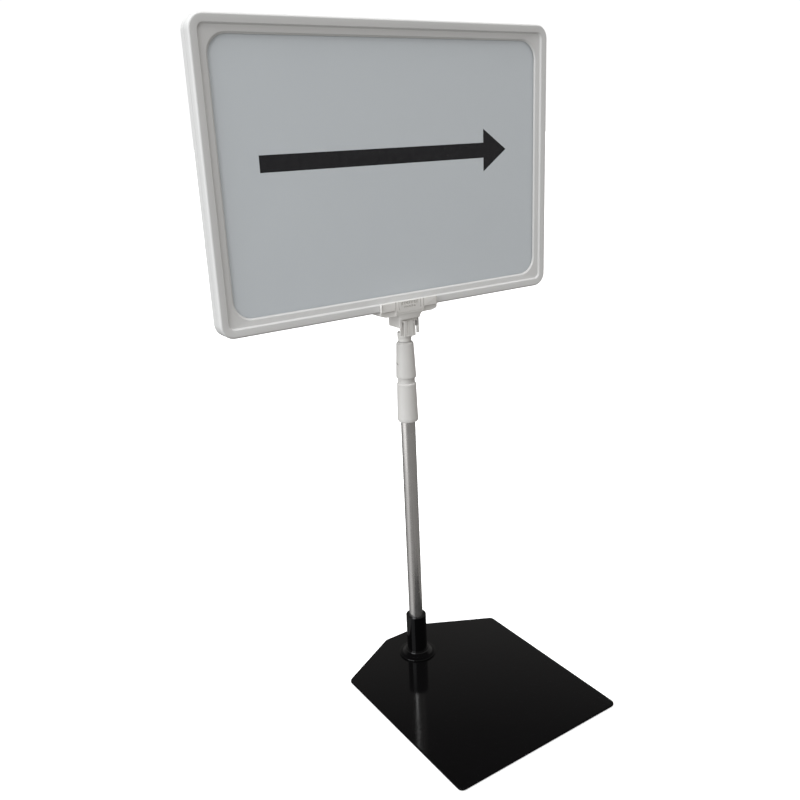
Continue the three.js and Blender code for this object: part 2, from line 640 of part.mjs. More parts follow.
// One half of the frame, facing -Y: a rounded rim, two stepped bands and the pocket behind them.
function frameShell() {
  const face = -HALF_THICKNESS;
  const seam = -PARTING_GAP / 2;
  const layers = RIM_ROUNDS.map(({ inset, depth }, index) => {
    const next = RIM_ROUNDS[index + 1];
    const rear = next ? face + next.depth : seam;
    const innerInset = depth < RIM_STEP ? RIM_BAND : WINDOW_BORDER;
    const innerRadius = depth < RIM_STEP ? RIM_BAND_CORNER_RADIUS : WINDOW_CORNER_RADIUS;
    return ring(inset, FRAME_CORNER_RADIUS - inset, innerInset, innerRadius, face + depth, rear);
  });
  const bandInset = RIM_BAND - BAND_OVERLAP;
  const bandFront = face + RIM_STEP;
  const innerBand = ring(
    bandInset, RIM_BAND_CORNER_RADIUS,
    WINDOW_BORDER, WINDOW_CORNER_RADIUS,
    bandFront, seam,
  );
  const pocketFront = face + FACE_THICKNESS;
  const pocketHalf = FRAME_WIDTH / 2 - POCKET_SIDE_WALL;
  const pocketTop = FRAME_HEIGHT - POCKET_TOP_WALL;
  const slotHalf = CARD_WIDTH / 2 + SLOT_SIDE_CLEARANCE;
  const pocket = box([-pocketHalf, pocketFront, POCKET_FOOT_WALL], [pocketHalf, OVERCUT, pocketTop]);
  const slot = box([-slotHalf, pocketFront, FRAME_HEIGHT / 2], [slotHalf, OVERCUT, FRAME_HEIGHT + OVERCUT]);
  return cut(union([...layers, innerBand]), [pocket, slot]);
}

// The places of the alignment pins in the frame's side walls.
function pinPlaces() {
  const x = FRAME_WIDTH / 2 - POCKET_SIDE_WALL / 2;
  return PIN_HEIGHTS.flatMap((z) => [[-x, z], [x, z]]);
}

// A round bar along Y, for the pins and their holes.
const crossBar = (radius, front, rear, x, z) =>
  rod(radius, front, rear, PIN_SEGMENTS).rotate([-90, 0, 0]).translate([x, 0, z]);

function frameFront() {
  const seam = -PARTING_GAP / 2;
  const holes = pinPlaces().map(([x, z]) =>
    crossBar(PIN_RADIUS + PIN_CLEARANCE, seam - PIN_LENGTH - PIN_END_CLEARANCE, OVERCUT, x, z));
  return toMesh("frame_front", cut(frameShell(), holes), whitePlastic());
}

function frameRear() {
  const shell = frameShell().rotate([0, 0, 180]);
  const pins = pinPlaces().map(([x, z]) => crossBar(PIN_RADIUS, -PIN_LENGTH, OVERCUT, x, z));
  return toMesh("frame_rear", union([shell, ...pins]), whitePlastic());
}

// One flat sheet in the pocket, between two depths.
function sheet(name, front, rear, look) {
  const half = CARD_WIDTH / 2;
  const bottom = POCKET_FOOT_WALL + REST_GAP;
  return toMesh(name, box([-half, front, bottom], [half, rear, bottom + CARD_HEIGHT]), look);
}

function pocketSheets() {
  const filmFront = -HALF_THICKNESS + FACE_THICKNESS + SHEET_GAP;
  const filmRear = filmFront + FILM_THICKNESS;
  const cardFront = filmRear + SHEET_GAP;
  const cardRear = cardFront + CARD_THICKNESS;
  const boardFront = cardRear + SHEET_GAP;
  return [
    sheet("clear_film_front", filmFront, filmRear, clearFilm()),
    sheet("showcard_front", cardFront, cardRear, greyCard()),
    sheet("spacer_board", boardFront, -boardFront, foamBoard()),
    sheet("showcard_rear", -cardRear, -cardFront, greyCard()),
    sheet("clear_film_rear", -filmRear, -filmFront, clearFilm()),
  ];
}

// ---------------------------------------------------------------- assembly

const stand = new THREE.Group();
stand.add(basePlate(), ...basePads());

const stem = new THREE.Group();
stem.position.set(STEM_X, STEM_Y, PLATE_TOP);
stem.add(
  stemSocket(),
  socketScrew(),
  outerTube(),
  clampBody(),
  clampCollet(),
  clampNut(),
  innerTube(),
  guidePlug(),
  swivelBush(),
  signClip(),
);
stand.add(stem);

const showcardFrame = new THREE.Group();
showcardFrame.position.set(0, STEM_Y, PLATE_TOP + FRAME_BOTTOM);
showcardFrame.add(frameFront(), frameRear(), ...pocketSheets());
stand.add(showcardFrame);

export default stand;
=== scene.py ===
import math

import bmesh
import bpy
from mathutils import Matrix, Vector
from mathutils.geometry import tessellate_polygon


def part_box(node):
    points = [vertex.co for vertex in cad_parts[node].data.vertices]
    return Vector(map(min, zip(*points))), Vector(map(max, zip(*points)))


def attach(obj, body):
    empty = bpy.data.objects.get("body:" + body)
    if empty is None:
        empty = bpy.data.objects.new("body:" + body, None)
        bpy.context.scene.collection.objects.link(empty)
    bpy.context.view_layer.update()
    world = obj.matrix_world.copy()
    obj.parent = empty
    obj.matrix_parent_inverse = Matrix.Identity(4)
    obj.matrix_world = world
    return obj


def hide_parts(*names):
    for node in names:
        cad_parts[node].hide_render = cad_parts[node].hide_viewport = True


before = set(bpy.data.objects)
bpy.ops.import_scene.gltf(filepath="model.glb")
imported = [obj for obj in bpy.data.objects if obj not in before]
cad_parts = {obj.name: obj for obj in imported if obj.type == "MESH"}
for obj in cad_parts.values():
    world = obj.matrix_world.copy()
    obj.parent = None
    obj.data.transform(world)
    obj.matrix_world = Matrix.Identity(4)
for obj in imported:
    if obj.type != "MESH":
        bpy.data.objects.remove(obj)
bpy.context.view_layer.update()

MM = 0.001
ROUND_STEPS = 96
BARREL_STEPS = 64
SMALL_STEPS = 48
PIN_STEPS = 32
DIMPLE_STEPS = 20
CORNER_STEPS = 14
FILLET_STEPS = 5
SHARP_ANGLE = math.radians(38)
BEVEL_ANGLE = math.radians(25)


# ---------------------------------------------------------------- mesh helpers


def make_object(name, verts, faces, indices=None):
    """A mesh object from points in metres, with a material index per face where given."""
    mesh = bpy.data.meshes.new(name)
    mesh.from_pydata([tuple(v) for v in verts], [], faces)
    mesh.validate()
    if indices:
        mesh.polygons.foreach_set("material_index", indices)
    build = bmesh.new()
    build.from_mesh(mesh)
    bmesh.ops.remove_doubles(build, verts=build.verts, dist=1e-7)
    bmesh.ops.recalc_face_normals(build, faces=build.faces)
    build.to_mesh(mesh)
    build.free()
    piece = bpy.data.objects.new(name, mesh)
    bpy.context.scene.collection.objects.link(piece)
    return piece


def link_mesh(name, build):
    """A linked object from a bmesh, which is then freed."""
    mesh = bpy.data.meshes.new(name)
    build.to_mesh(mesh)
    build.free()
    piece = bpy.data.objects.new(name, mesh)
    bpy.context.scene.collection.objects.link(piece)
    return piece


def finish_mesh(piece, weighted=True):
    """Smooth shading with crisp corners, and normals that keep large faces flat."""
    piece.data.polygons.foreach_set("use_smooth", [True] * len(piece.data.polygons))
    piece.data.set_sharp_from_angle(angle=SHARP_ANGLE)
    if weighted:
        modifier = piece.modifiers.new("normals", "WEIGHTED_NORMAL")
        modifier.keep_sharp = True
        modifier.weight = 80
    return piece


def rounded(points):
    """A closed outline from (a, b, fillet) corners, with each fillet as a short curve."""
    line = []
    count = len(points)
    for i, (a, b, fillet) in enumerate(points):
        corner = Vector((a, b))
        before = Vector(points[i - 1][:2])
        after = Vector(points[(i + 1) % count][:2])
        if fillet <= 0:
            line.append(corner)
            continue
        to_before = before - corner
        to_after = after - corner
        angle = to_before.angle(to_after)
        reach = min(fillet / math.tan(angle / 2), to_before.length * 0.49, to_after.length * 0.49)
        start = corner + to_before.normalized() * reach
        end = corner + to_after.normalized() * reach
        for step in range(FILLET_STEPS + 1):
            t = step / FILLET_STEPS
            line.append(start * (1 - t) ** 2 + corner * 2 * t * (1 - t) + end * t * t)
    return line


def revolve(name, axis, profile, steps=ROUND_STEPS):
    """Turns a closed outline of (radius, height, fillet) corners in millimetres about an upright axis."""
    line = rounded(profile)
    verts = []
    rings = []
    for point in line:
        if point.x < 1e-6:
            rings.append([len(verts)] * steps)
            verts.append((axis.x, axis.y, point.y * MM))
            continue
        rings.append(list(range(len(verts), len(verts) + steps)))
        for i in range(steps):
            turn = 2 * math.pi * i / steps
            verts.append((
                axis.x + point.x * MM * math.cos(turn),
                axis.y + point.x * MM * math.sin(turn),
                point.y * MM,
            ))
    faces = []
    for k in range(len(rings)):
        low, high = rings[k], rings[(k + 1) % len(rings)]
        for i in range(steps):
            j = (i + 1) % steps
            corners = []
            for index in (low[i], low[j], high[j], high[i]):
                if index not in corners:
                    corners.append(index)
            if len(corners) > 2:
                faces.append(corners)
    return make_object(name, verts, faces)


def loft(name, loops, closed=False):
    """Quads between loops with the same number of points; flat caps unless it closes on itself."""
    count = len(loops[0])
    verts = [point for loop in loops for point in loop]
    faces = []
    for k in range(len(loops) if closed else len(loops) - 1):
        low = k * count
        high = ((k + 1) % len(loops)) * count
        for i in range(count):
            j = (i + 1) % count
            faces.append([low + i, low + j, high + j, high + i])
    if not closed:
        faces.append(list(range(count)))
        faces.append(list(range((len(loops) - 1) * count, len(loops) * count)))
    return make_object(name, verts, faces)


def rounded_rectangle(x0, x1, z0, z1, radius):
    """Points round a rectangle with rounded corners."""
    points = []
    for cx, cz, start in (
        (x1 - radius, z0 + radius, -0.5),
        (x1 - radius, z1 - radius, 0.0),
        (x0 + radius, z1 - radius, 0.5),
        (x0 + radius, z0 + radius, 1.0),
    ):
        for step in range(CORNER_STEPS + 1):
            turn = math.pi * (start + 0.5 * step / CORNER_STEPS)
            points.append((cx + radius * math.cos(turn), cz + radius * math.sin(turn)))
    return points


def block(name, low, high, bevel=0.0, steps=2):
    """A box with bevelled edges, from corners in metres."""
    build = bmesh.new()
    bmesh.ops.create_cube(build, size=1)
    size = Vector(high) - Vector(low)
    centre = (Vector(high) + Vector(low)) / 2
    bmesh.ops.scale(build, vec=size, verts=build.verts)
    bmesh.ops.translate(build, vec=centre, verts=build.verts)
    if bevel:
        bmesh.ops.bevel(
            build, geom=build.edges[:], offset=bevel, segments=steps, profile=0.5, affect="EDGES",
        )
    return link_mesh(name, build)


def prism(name, outline, front, rear, bevel=0.0):
    """An XZ outline in metres carried along Y, with bevelled edges."""
    build = bmesh.new()
    near = [build.verts.new((x, front, z)) for x, z in outline]
    far = [build.verts.new((x, rear, z)) for x, z in outline]
    build.faces.new(near)
    build.faces.new(list(reversed(far)))
    for i in range(len(outline)):
        j = (i + 1) % len(outline)
        build.faces.new((near[j], near[i], far[i], far[j]))
    bmesh.ops.recalc_face_normals(build, faces=build.faces)
    if bevel:
        edges = [edge for edge in build.edges if edge.calc_face_angle() > BEVEL_ANGLE]
        bmesh.ops.bevel(build, geom=edges, offset=bevel, segments=2, profile=0.5, affect="EDGES")
    return link_mesh(name, build)


def combine(piece, tools, operation):
    """Joins tools to a piece or cuts them from it, and removes the tools."""
    for tool in tools:
        modifier = piece.modifiers.new("combine", "BOOLEAN")
        modifier.operation = operation
        modifier.solver = "EXACT"
        modifier.object = tool
        bpy.context.view_layer.update()
        graph = bpy.context.evaluated_depsgraph_get()
        mesh = bpy.data.meshes.new_from_object(piece.evaluated_get(graph))
        piece.modifiers.remove(modifier)
        old = piece.data
        piece.data = mesh
        bpy.data.meshes.remove(old)
        spent = tool.data
        bpy.data.objects.remove(tool)
        bpy.data.meshes.remove(spent)
    return piece


def add(piece, body, slot, material, *nodes):
    """Gives a finished piece its materials and its body, and hides the CAD nodes it stands for. The slot
    argument is not used.
    """
    for each in material if isinstance(material, (list, tuple)) else [material]:
        piece.data.materials.append(each)
    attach(piece, body)
    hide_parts(*nodes)
    return piece


# ---------------------------------------------------------------- materials


def map_range(nodes, links, source, start, end, low=0.0, high=1.0):
    """Maps a value from start..end to low..high."""
    node = nodes.new("ShaderNodeMapRange")
    node.inputs["From Min"].default_value = start
    node.inputs["From Max"].default_value = end
    node.inputs["To Min"].default_value = low
    node.inputs["To Max"].default_value = high
    links.new(source, node.inputs["Value"])
    return node.outputs["Result"]


class Look:
    """A node material with a Principled shader and short helpers for its inputs."""

    def __init__(self, name, colour, roughness, metallic=0.0, **values):
        self.material = bpy.data.materials.new(name)
        self.material.use_nodes = True
        self.nodes = self.material.node_tree.nodes
        self.links = self.material.node_tree.links
        self.shader = self.nodes["Principled BSDF"]
        self.set("Base Color", (*colour, 1))
        self.set("Roughness", roughness)
        self.set("Metallic", metallic)
        for key, value in values.items():
            self.set(key.replace("_", " "), value)
        coords = self.nodes.new("ShaderNodeTexCoord")
        self.coords = coords.outputs["Object"]
        self.bump_output = None

    def set(self, name, value):
        self.shader.inputs[name].default_value = value

    def stretched(self, scale):
        mapping = self.nodes.new("ShaderNodeMapping")
        mapping.inputs["Scale"].default_value = scale
        self.links.new(self.coords, mapping.inputs["Vector"])
        return mapping.outputs["Vector"]

    def noise(self, scale, detail=4.0, roughness=0.55, stretch=None):
        node = self.nodes.new("ShaderNodeTexNoise")
        node.inputs["Scale"].default_value = scale
        node.inputs["Detail"].default_value = detail
        node.inputs["Roughness"].default_value = roughness
        self.links.new(self.stretched(stretch) if stretch else self.coords, node.inputs["Vector"])
        return node.outputs["Fac"]

    def ramp(self, source, low, high, start=0.3, end=0.7):
        return map_range(self.nodes, self.links, source, start, end, low, high)

    def mix(self, factor, first, second):
        node = self.nodes.new("ShaderNodeMix")
        node.data_type = "RGBA"
        self.links.new(factor, node.inputs[0])
        for socket, value in ((node.inputs[6], first), (node.inputs[7], second)):
            if isinstance(value, tuple):
                socket.default_value = (*value, 1)
            else:
                self.links.new(value, socket)
        return node.outputs[2]

    # Ambient occlusion, used to paint shade into creases, recesses and joints between parts.
    def creases(self, distance):
        node = self.nodes.new("ShaderNodeAmbientOcclusion")
        node.samples = 8
        node.inputs["Distance"].default_value = distance
        return node.outputs["AO"]

    def colour(self, output):
        self.links.new(output, self.shader.inputs["Base Color"])

    def roughness(self, output):
        self.links.new(output, self.shader.inputs["Roughness"])

    def bump(self, height, distance, strength=1.0):
        node = self.nodes.new("ShaderNodeBump")
        node.inputs["Strength"].default_value = strength
        node.inputs["Distance"].default_value = distance
        self.links.new(height, node.inputs["Height"])
        if self.bump_output:
            self.links.new(self.bump_output, node.inputs["Normal"])
        self.bump_output = node.outputs["Normal"]
        self.links.new(self.bump_output, self.shader.inputs["Normal"])


def moulded_plastic(name, colour, shade, roughness=0.4, shade_reach=0.0025):
    """Satin moulded plastic: faint flow clouding, a fine eroded grain and painted shade in the creases,
    found by ambient occlusion.
    """
    look = Look(name, colour, roughness, Specular_IOR_Level=0.45)
    cloud = look.ramp(look.noise(26, 3), 0.0, 1.0, 0.35, 0.68)
    body = look.mix(cloud, colour, shade)
    # Painted shade: the colour darkens towards this grey where ambient occlusion finds creases, recesses
    # and joints between parts.
    crease_shade_colour = tuple(c * 0.62 for c in shade)
    crease_shade_mask = look.ramp(look.creases(shade_reach), 0.4, 0.0, 0.15, 0.7)
    look.colour(look.mix(crease_shade_mask, body, crease_shade_colour))
    look.roughness(look.ramp(look.noise(900, 3), roughness - 0.05, roughness + 0.06))
    look.bump(look.noise(2600, 2), 0.00002, 0.35)
    look.bump(look.noise(70, 2), 0.00012, 0.2)
    return look.material


def black_enamel(name, ripple, roughness, shine=0.5):
    """Gloss black powder coat: a soft orange-peel ripple with dust specks and light rubbing."""
    look = Look(name, (0.0025, 0.0024, 0.0026), roughness, Specular_IOR_Level=shine)
    speck = look.ramp(look.noise(1400, 2, 0.5), 0.0, 1.0, 0.72, 0.78)
    look.colour(look.mix(speck, (0.0025, 0.0024, 0.0026), (0.02, 0.02, 0.021)))
    look.roughness(look.ramp(look.noise(38, 5), roughness * 0.75, roughness * 1.5))
    look.bump(look.noise(620, 2), 0.00004, ripple)
    look.bump(look.noise(120, 2), 0.0001, ripple * 0.5)
    return look.material


def drawn_aluminium(name, colour, roughness):
    """Satin anodised tube: fine die lines along its length and faint handling marks."""
    look = Look(name, colour, roughness, 0.9, Anisotropic=0.3)
    lines = look.noise(1.0, 4, 0.6, (1900, 1900, 9))
    marks = look.noise(60, 4)
    look.colour(look.mix(look.ramp(lines, 0, 1, 0.35, 0.65), colour, tuple(c * 0.86 for c in colour)))
    look.roughness(look.ramp(marks, roughness - 0.04, roughness + 0.09))
    look.bump(lines, 0.00003, 0.4)
    return look.material


def printed_card(name, colour, shade):
    """Matt printed card: paper fibre, faint print mottle and a barely cockled surface."""
    look = Look(name, colour, 0.5, Specular_IOR_Level=0.3)
    look.colour(look.mix(look.ramp(look.noise(9, 3), 0, 1, 0.3, 0.7), colour, shade))
    look.roughness(look.ramp(look.noise(1300, 3), 0.44, 0.58))
    look.bump(look.noise(1.0, 3, 0.6, (1500, 900, 700)), 0.000004, 0.2)
    look.bump(look.noise(9, 2), 0.0003, 0.08)
    return look.material


def simple_look(name, colour, shade, roughness, grain, metallic=0.0, shine=0.5):
    """A plain material with colour mottle, uneven roughness and a grain at its own scale."""
    look = Look(name, colour, roughness, metallic, Specular_IOR_Level=shine)
    look.colour(look.mix(look.ramp(look.noise(grain * 0.2, 4), 0, 1, 0.35, 0.65), colour, shade))
    look.roughness(look.ramp(look.noise(grain, 3), roughness * 0.85, min(1.0, roughness * 1.15)))
    look.bump(look.noise(grain, 3), 0.00004, 0.5)
    return look.material


def clear_film(name):
    """Thin clear sheet: mostly see-through, with a faint gloss and a slight haze."""
    look = Look(name, (0.6, 0.62, 0.64), 0.16, IOR=1.45, Specular_IOR_Level=0.5, Alpha=0.022)
    look.roughness(look.ramp(look.noise(300, 4), 0.12, 0.22))
    look.bump(look.noise(14, 2), 0.0006, 0.15)
    return look.material


# Where given, the last number is how far the painted crease shade reaches, in metres.
frame_white = moulded_plastic("frame_white", (0.785, 0.785, 0.78), (0.765, 0.765, 0.762), 0.4)
clip_white = moulded_plastic("clip_white", (0.85, 0.835, 0.81), (0.825, 0.81, 0.785), 0.42, 0.0009)
clamp_white = moulded_plastic("clamp_white", (0.742, 0.729, 0.71), (0.718, 0.704, 0.684), 0.34, 0.0014)
plate_black = black_enamel("plate_black", 0.16, 0.07)
edge_black = black_enamel("edge_black", 0.1, 0.14, 0.08)
socket_black = black_enamel("socket_black", 0.1, 0.1, 0.33)
tube_metal = drawn_aluminium("tube_metal", (0.76, 0.745, 0.735), 0.22)
inner_metal = drawn_aluminium("inner_metal", (0.82, 0.82, 0.82), 0.3)
card_grey = printed_card("card_grey", (0.768, 0.814, 0.85), (0.754, 0.799, 0.837))
card_ink = simple_look("card_ink", (0.008, 0.007, 0.009), (0.013, 0.012, 0.014), 0.6, 900, 0.0, 0.12)
film_clear = clear_film("film_clear")
pad_rubber = simple_look("pad_rubber", (0.03, 0.03, 0.03), (0.05, 0.05, 0.048), 0.82, 1500)
screw_zinc = simple_look("screw_zinc", (0.62, 0.63, 0.64), (0.5, 0.5, 0.47), 0.3, 1200, 1.0)
acetal = simple_look("acetal", (0.74, 0.73, 0.69), (0.7, 0.69, 0.64), 0.5, 1100)
foam = simple_look("foam", (0.84, 0.83, 0.8), (0.78, 0.77, 0.73), 0.85, 2200)


# ---------------------------------------------------------------- base

GAP = 0.1  # left between pieces that lie against each other
OVERCUT = 1.0  # how far a cutting tool reaches past the face that it cuts
PLATE_SHOULDER = 163.5  # from the front edge to where the rear chamfers start
PLATE_REAR_HALF = 23.0
PLATE_CORNER = 5.0
PLATE_EDGE_ROUND = 0.55
PLATE_EDGE_STEPS = 4
SIDE_NORMAL = 0.9  # a face whose normal is less upright than this belongs to the plate's edge
SCREW_HOLE = 3.2
COUNTERSINK_ROOM = 0.4
SOCKET_RADIUS = 9.2
SOCKET_BORE = 6.45
COLLAR_RADIUS = 10.6
COLLAR_TOP = 5.0
SCREW_SHANK = 3.0
DRIVE_RADIUS = 2.05
DRIVE_DEPTH = 1.7

plate_low, plate_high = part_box("base_plate")
tube_low, tube_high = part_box("outer_tube")
stem_axis = (tube_low + tube_high) / 2
deck = plate_high.z / MM


def plate_loop(inset, height):
    """The plate's outline at one height, drawn in from its full size."""
    x0 = plate_low.x / MM + inset
    x1 = plate_high.x / MM - inset
    y0 = plate_low.y / MM + inset
    y1 = plate_high.y / MM - inset
    middle = (x0 + x1) / 2
    shoulder = plate_low.y / MM + PLATE_SHOULDER - inset * 0.25
    rear = PLATE_REAR_HALF - inset * 0.55
    radius = PLATE_CORNER - inset
    outline = rounded([
        (x0, y0, radius),
        (x1, y0, radius),
        (x1, shoulder, radius),
        (middle + rear, y1, radius),
        (middle - rear, y1, radius),
        (x0, shoulder, radius),
    ])
    return [Vector((point.x * MM, point.y * MM, height * MM)) for point in outline]


def make_plate():
    bottom = plate_low.z / MM
    rounds = []
    for step in range(PLATE_EDGE_STEPS + 1):
        turn = step / PLATE_EDGE_STEPS * math.pi / 2
        rounds.append((
            PLATE_EDGE_ROUND * (1 - math.sin(turn)),
            PLATE_EDGE_ROUND * (1 - math.cos(turn)),
        ))
    loops = [plate_loop(inset, bottom + lift) for inset, lift in rounds]
    loops += [plate_loop(inset, deck - lift) for inset, lift in reversed(rounds)]
    plate = loft("steel_plate", loops)
    screw_low, screw_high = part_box("socket_screw")
    reach = (screw_high.x - screw_low.x) / 2 / MM
    countersink = revolve("countersink", stem_axis, [
        (0, bottom - OVERCUT, 0),
        (reach + COUNTERSINK_ROOM, bottom - OVERCUT, 0),
        (reach + 0.25, bottom + 0.1, 0),
        (SCREW_HOLE, deck + 0.2, 0),
        (SCREW_HOLE, deck + OVERCUT, 0),
        (0, deck + OVERCUT, 0),
    ], SMALL_STEPS)
    combine(plate, [countersink], "DIFFERENCE")
    finish_mesh(plate)
    for face in plate.data.polygons:
        face.material_index = 1 if abs(face.normal.z) < SIDE_NORMAL else 0
    add(plate, "base", "black_paint", [plate_black, edge_black], "base_plate")


def make_pads():
    for name in ("pad_front_left", "pad_front_right", "pad_rear_left", "pad_rear_right"):
        low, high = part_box(name)
        radius = (high.x - low.x) / 2 / MM
        centre = (low + high) / 2
        pad = revolve("foot_" + name, centre, [
            (0, low.z / MM, 0),
            (radius - 1.4, low.z / MM, 0.2),
            (radius - 1.1, low.z / MM + 0.12, 0.1),
            (radius - 0.15, low.z / MM + 0.25, 0.25),
            (radius, high.z / MM, 0.05),
            (0, high.z / MM, 0),
        ], SMALL_STEPS)
        finish_mesh(pad)
        add(pad, "base", "dark_rubber", pad_rubber, name)


def make_socket():
    low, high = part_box("stem_socket")
    flange = (high.x - low.x) / 2 / MM
    bottom = low.z / MM
    top = high.z / MM
    bore_floor = tube_low.z / MM - GAP
    socket = revolve("stem_holder", stem_axis, [
        (SCREW_HOLE, bottom, 0),
        (flange - 0.3, bottom, 0.15),
        (flange, bottom + 0.4, 0.3),
        (flange - 0.05, deck + 1.5, 0.7),
        (flange - 3.0, deck + 1.8, 0.8),
        (COLLAR_RADIUS, deck + COLLAR_TOP - 0.7, 1.2),
        (COLLAR_RADIUS - 0.3, deck + COLLAR_TOP, 0.4),
        (SOCKET_RADIUS + 0.05, deck + COLLAR_TOP + 0.2, 0.5),
        (SOCKET_RADIUS, top - 0.2, 0.0),
        (SOCKET_RADIUS - 0.1, top, 0.7),
        (SOCKET_BORE + 0.3, top, 0.3),
        (SOCKET_BORE, top - 0.8, 0.2),
        (SOCKET_BORE, bore_floor, 0),
        (SCREW_HOLE, bore_floor, 0),
    ])
    finish_mesh(socket)
    add(socket, "base", "black_paint", socket_black, "stem_socket")


def make_screw():
    low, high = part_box("socket_screw")
    head = (high.x - low.x) / 2 / MM
    bottom = low.z / MM
    top = high.z / MM
    screw = revolve("plate_screw", stem_axis, [
        (0, bottom + DRIVE_DEPTH, 0),
        (DRIVE_RADIUS - 0.15, bottom + DRIVE_DEPTH - 0.2, 0.1),
        (DRIVE_RADIUS, bottom, 0.15),
        (head - 0.1, bottom, 0.1),
        (head, bottom + 0.25, 0.1),
        (SCREW_SHANK, bottom + 2.0, 0.2),
        (SCREW_SHANK, top - 0.5, 0.1),
        (SCREW_SHANK - 0.5, top, 0.1),
        (0, top, 0),
    ], SMALL_STEPS)
    finish_mesh(screw)
    add(screw, "base", "zinc_steel", screw_zinc, "socket_screw")


# ---------------------------------------------------------------- stem

TUBE_WALL = 1.0
INNER_WALL = 0.8
SLIDE_GAP = 0.15  # round the inner tube where it slides
NECK_RADIUS = 7.2
NECK_LENGTH = 4.4
THREAD_RADIUS = 6.7
NUT_BORE = 6.95
NUT_SHOULDER = 7.32
NUT_RIM = 5.95
NUT_CONE_RADIUS = 5.75
NUT_CONE_LENGTH = 13.2
NUT_TOP_BORE = 4.9
PLUG_BORE = 1.5
BUSH_SLEEVE = 5.2
PIN_RADIUS = 2.2
BUSH_CAP = 0.9
SLIT_HALF = 0.6
SLIT_REACH = 8.0
DIMPLE_RADIUS = 1.0
DIMPLE_AT = (-7.9, 0.2, 12.3)  # from the stem axis and the foot of the nut


def radius_of(node):
    """A round piece's radius, foot and top, in millimetres."""
    low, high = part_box(node)
    return (high.x - low.x) / 2 / MM, low.z / MM, high.z / MM


def make_tube(name, node, wall, body, material):
    radius, bottom, top = radius_of(node)
    tube = revolve(name, stem_axis, [
        (radius, bottom, 0.25),
        (radius, top, 0.2),
        (radius - wall, top, 0.15),
        (radius - wall, bottom, 0.25),
    ])
    finish_mesh(tube)
    add(tube, body, "satin_aluminium", material, node)


def make_clamp_sleeve():
    radius, bottom, top = radius_of("clamp_body")
    tube_radius, _, tube_top = radius_of("outer_tube")
    inner_radius = radius_of("inner_tube")[0]
    nut_bottom = radius_of("clamp_nut")[1]
    neck_top = nut_bottom - GAP
    shoulder = nut_bottom - NECK_LENGTH
    sleeve = revolve("clamp_sleeve", stem_axis, [
        (tube_radius + GAP, bottom + 0.25, 0.15),
        (tube_radius + 0.5, bottom, 0.2),
        (radius - 0.25, bottom, 1.3),
        (radius, bottom + 3.2, 0.6),
        (radius - 0.06, bottom + 3.35, 0.05),
        (radius - 0.72, shoulder - 2.6, 0.05),
        (radius - 0.64, shoulder - 2.4, 0.1),
        (radius - 0.76, shoulder - 1.0, 0.15),
        (radius - 1.7, shoulder, 0.15),
        (NECK_RADIUS + 0.05, shoulder, 0.15),
        (NECK_RADIUS, neck_top, 0.05),
        (THREAD_RADIUS, neck_top, 0),
        (THREAD_RADIUS, top, 0.3),
        (inner_radius + SLIDE_GAP, top, 0.1),
        (inner_radius + SLIDE_GAP, tube_top + GAP, 0),
        (tube_radius + GAP, tube_top + GAP, 0),
    ])
    finish_mesh(sleeve)
    add(sleeve, "stem", "white_plastic", clamp_white, "clamp_body")


def make_collet():
    radius, bottom, top = radius_of("clamp_collet")
    inner_radius = radius_of("inner_tube")[0]
    collet = revolve("grip_collet", stem_axis, [
        (radius, bottom, 0.2),
        (radius - 0.9, top, 0.3),
        (inner_radius + SLIDE_GAP, top, 0.1),
        (inner_radius + SLIDE_GAP, bottom, 0.1),
    ], SMALL_STEPS)
    slit = block(
        "slit",
        Vector((0, -SLIT_HALF, bottom - OVERCUT)) * MM,
        Vector((SLIT_REACH, SLIT_HALF, top + OVERCUT)) * MM,
    )
    slit.data.transform(Matrix.Translation((stem_axis.x, stem_axis.y, 0)))
    combine(collet, [slit], "DIFFERENCE")
    finish_mesh(collet)
    add(collet, "stem", "natural_plastic", acetal, "clamp_collet")


def make_nut():
    radius, bottom, top = radius_of("clamp_nut")
    thread_top = radius_of("clamp_body")[2]
    nut = revolve("twist_nut", stem_axis, [
        (radius - 0.9, bottom, 0.1),
        (radius - 0.15, bottom, 0.35),
        (radius, bottom + 1.3, 0.3),
        (NUT_SHOULDER, top - 2.0, 0.2),
        (NUT_SHOULDER - 0.2, top - 1.2, 0.15),
        (NUT_RIM, top, 0.15),
        (NUT_TOP_BORE + 0.05, top, 0.3),
        (NUT_TOP_BORE, thread_top + NUT_CONE_LENGTH + 0.8, 0.1),
        (NUT_CONE_RADIUS, thread_top + NUT_CONE_LENGTH, 0.1),
        (NUT_BORE, thread_top, 0.1),
        (NUT_BORE, bottom + 0.4, 0.2),
    ])
    dimple = revolve("dimple", Vector((0, 0, 0)), [
        (0, -1.5, 0), (DIMPLE_RADIUS - 0.1, -1.5, 0.2), (DIMPLE_RADIUS, 1.5, 0.0), (0, 1.5, 0),
    ], DIMPLE_STEPS)
    x, y, z = DIMPLE_AT
    at = Vector((stem_axis.x + x * MM, stem_axis.y + y * MM, (bottom + z) * MM))
    dimple.data.transform(Matrix.Translation(at) @ Matrix.Rotation(math.pi / 2, 4, "Y"))
    combine(nut, [dimple], "DIFFERENCE")
    finish_mesh(nut)
    add(nut, "clamp_nut", "white_plastic", clamp_white, "clamp_nut")


